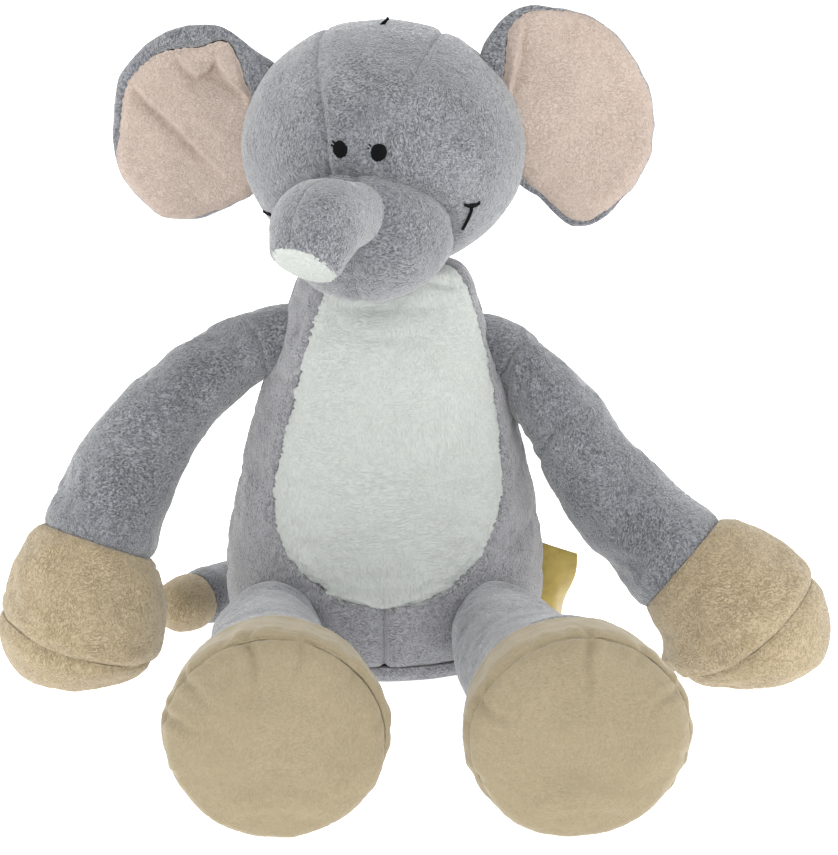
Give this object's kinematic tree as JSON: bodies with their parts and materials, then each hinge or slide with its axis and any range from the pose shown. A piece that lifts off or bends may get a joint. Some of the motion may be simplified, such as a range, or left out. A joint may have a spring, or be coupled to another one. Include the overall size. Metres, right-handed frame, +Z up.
{
  "type": "stuffed elephant",
  "caption": "Sitting plush elephant with sewn panels, stubby trunk, padded ears, arms and legs jointed at soft seams.",
  "frame": {"origin": "centre of the flat resting face under the torso", "axes": "+Z up, the front faces -Y, +X is the elephant's left (the viewer's right)"},
  "size_m": [0.3744, 0.2962, 0.2996],
  "materials": {
    "grey_plush": "matte",
    "cream_plush": "matte",
    "peach_lining": "matte",
    "beige_plush": "matte",
    "fibre_fill": "matte",
    "bean_pouch_cloth": "matte",
    "black_thread": "satin",
    "label_satin": "satin"
  },
  "bodies": {
    "torso": {"torso_front_left": "grey_plush", "torso_front_right": "grey_plush", "belly_panel": "cream_plush", "torso_back_left": "grey_plush", "torso_back_right": "grey_plush", "torso_base": "grey_plush", "torso_stuffing": "fibre_fill", "bean_pouch": "bean_pouch_cloth"},
    "label": {"side_label": "label_satin"},
    "neck": {"neck_stuffing": "grey_plush"},
    "head": {"head_forehead_panel": "grey_plush", "head_side_left": "grey_plush", "head_side_right": "grey_plush", "muzzle_left": "grey_plush", "muzzle_right": "grey_plush", "head_stuffing": "fibre_fill", "eye_left": "black_thread", "eye_right": "black_thread", "mouth_stitch_left": "black_thread", "mouth_stitch_right": "black_thread", "thread_stub": "black_thread"},
    "trunk": {"trunk_left": "grey_plush", "trunk_right": "grey_plush", "trunk_stuffing": "fibre_fill", "trunk_tip": "cream_plush"},
    "ear_left": {"ear_lining_left": "peach_lining", "ear_back_left": "grey_plush"},
    "ear_right": {"ear_lining_right": "peach_lining", "ear_back_right": "grey_plush"},
    "shoulder_left": {"shoulder_left": "grey_plush"},
    "shoulder_right": {"shoulder_right": "grey_plush"},
    "arm_left": {"arm_sleeve_left": "grey_plush", "hand_left": "beige_plush", "hand_sole_left": "beige_plush", "arm_stuffing_left": "fibre_fill"},
    "arm_right": {"arm_sleeve_right": "grey_plush", "hand_right": "beige_plush", "hand_sole_right": "beige_plush", "arm_stuffing_right": "fibre_fill"},
    "leg_left": {"leg_sleeve_left": "grey_plush", "foot_left": "beige_plush", "foot_sole_left": "beige_plush", "leg_stuffing_left": "fibre_fill"},
    "leg_right": {"leg_sleeve_right": "grey_plush", "foot_right": "beige_plush", "foot_sole_right": "beige_plush", "leg_stuffing_right": "fibre_fill"},
    "tail": {"tail_sleeve": "grey_plush", "tail_tip": "beige_plush", "tail_stuffing": "fibre_fill"}
  },
  "joints": [
    {"name": "neck_turn", "type": "hinge", "parent": "torso", "child": "neck", "pos_m": [0, -0.003, 0.188], "axis": [0, 0, 1], "range_deg": [-30, 50]},
    {"name": "neck_nod", "type": "hinge", "parent": "neck", "child": "head", "pos_m": [0, -0.003, 0.188], "axis": [0.9816, -0.1908, 0], "range_deg": [-18, 6]},
    {"name": "trunk_bend", "type": "hinge", "parent": "head", "child": "trunk", "pos_m": [-0.012, -0.076, 0.221], "axis": [0.9816, -0.1908, 0], "range_deg": [-12, 8], "stiffness_Nm_per_rad": 0.12},
    {"name": "ear_left_fold", "type": "hinge", "parent": "head", "child": "ear_left", "pos_m": [0.0645, -0.017, 0.251], "axis": [-0.2026, 0, 0.9793], "range_deg": [-30, 20], "stiffness_Nm_per_rad": 0.012},
    {"name": "ear_right_fold", "type": "hinge", "parent": "head", "child": "ear_right", "pos_m": [-0.0665, 0.005, 0.247], "axis": [0.2341, 0, 0.9722], "range_deg": [-20, 30], "stiffness_Nm_per_rad": 0.012},
    {"name": "arm_left_swing", "type": "hinge", "parent": "torso", "child": "shoulder_left", "pos_m": [0.052, 0, 0.148], "axis": [-1, 0, 0], "range_deg": [-5, 60]},
    {"name": "arm_left_lift", "type": "hinge", "parent": "shoulder_left", "child": "arm_left", "pos_m": [0.052, 0, 0.148], "axis": [0, -1, 0], "range_deg": [0, 55]},
    {"name": "arm_right_swing", "type": "hinge", "parent": "torso", "child": "shoulder_right", "pos_m": [-0.052, 0, 0.148], "axis": [-1, 0, 0], "range_deg": [-5, 60]},
    {"name": "arm_right_lift", "type": "hinge", "parent": "shoulder_right", "child": "arm_right", "pos_m": [-0.052, 0, 0.148], "axis": [0, 1, 0], "range_deg": [0, 55]},
    {"name": "leg_left_raise", "type": "hinge", "parent": "torso", "child": "leg_left", "pos_m": [0.052, -0.047, 0.026], "axis": [-1, 0, 0], "range_deg": [0, 30]},
    {"name": "leg_right_raise", "type": "hinge", "parent": "torso", "child": "leg_right", "pos_m": [-0.052, -0.047, 0.026], "axis": [-1, 0, 0], "range_deg": [0, 30]},
    {"name": "tail_swing", "type": "hinge", "parent": "torso", "child": "tail", "pos_m": [-0.014, 0.057, 0.02], "axis": [0, 0, -1], "range_deg": [0, 60]},
    {"name": "label_flap", "type": "hinge", "parent": "torso", "child": "label", "pos_m": [0.0739, -0.005, 0.034], "axis": [0, 0, 1], "range_deg": [-25, 25], "stiffness_Nm_per_rad": 0.002}
  ]
}
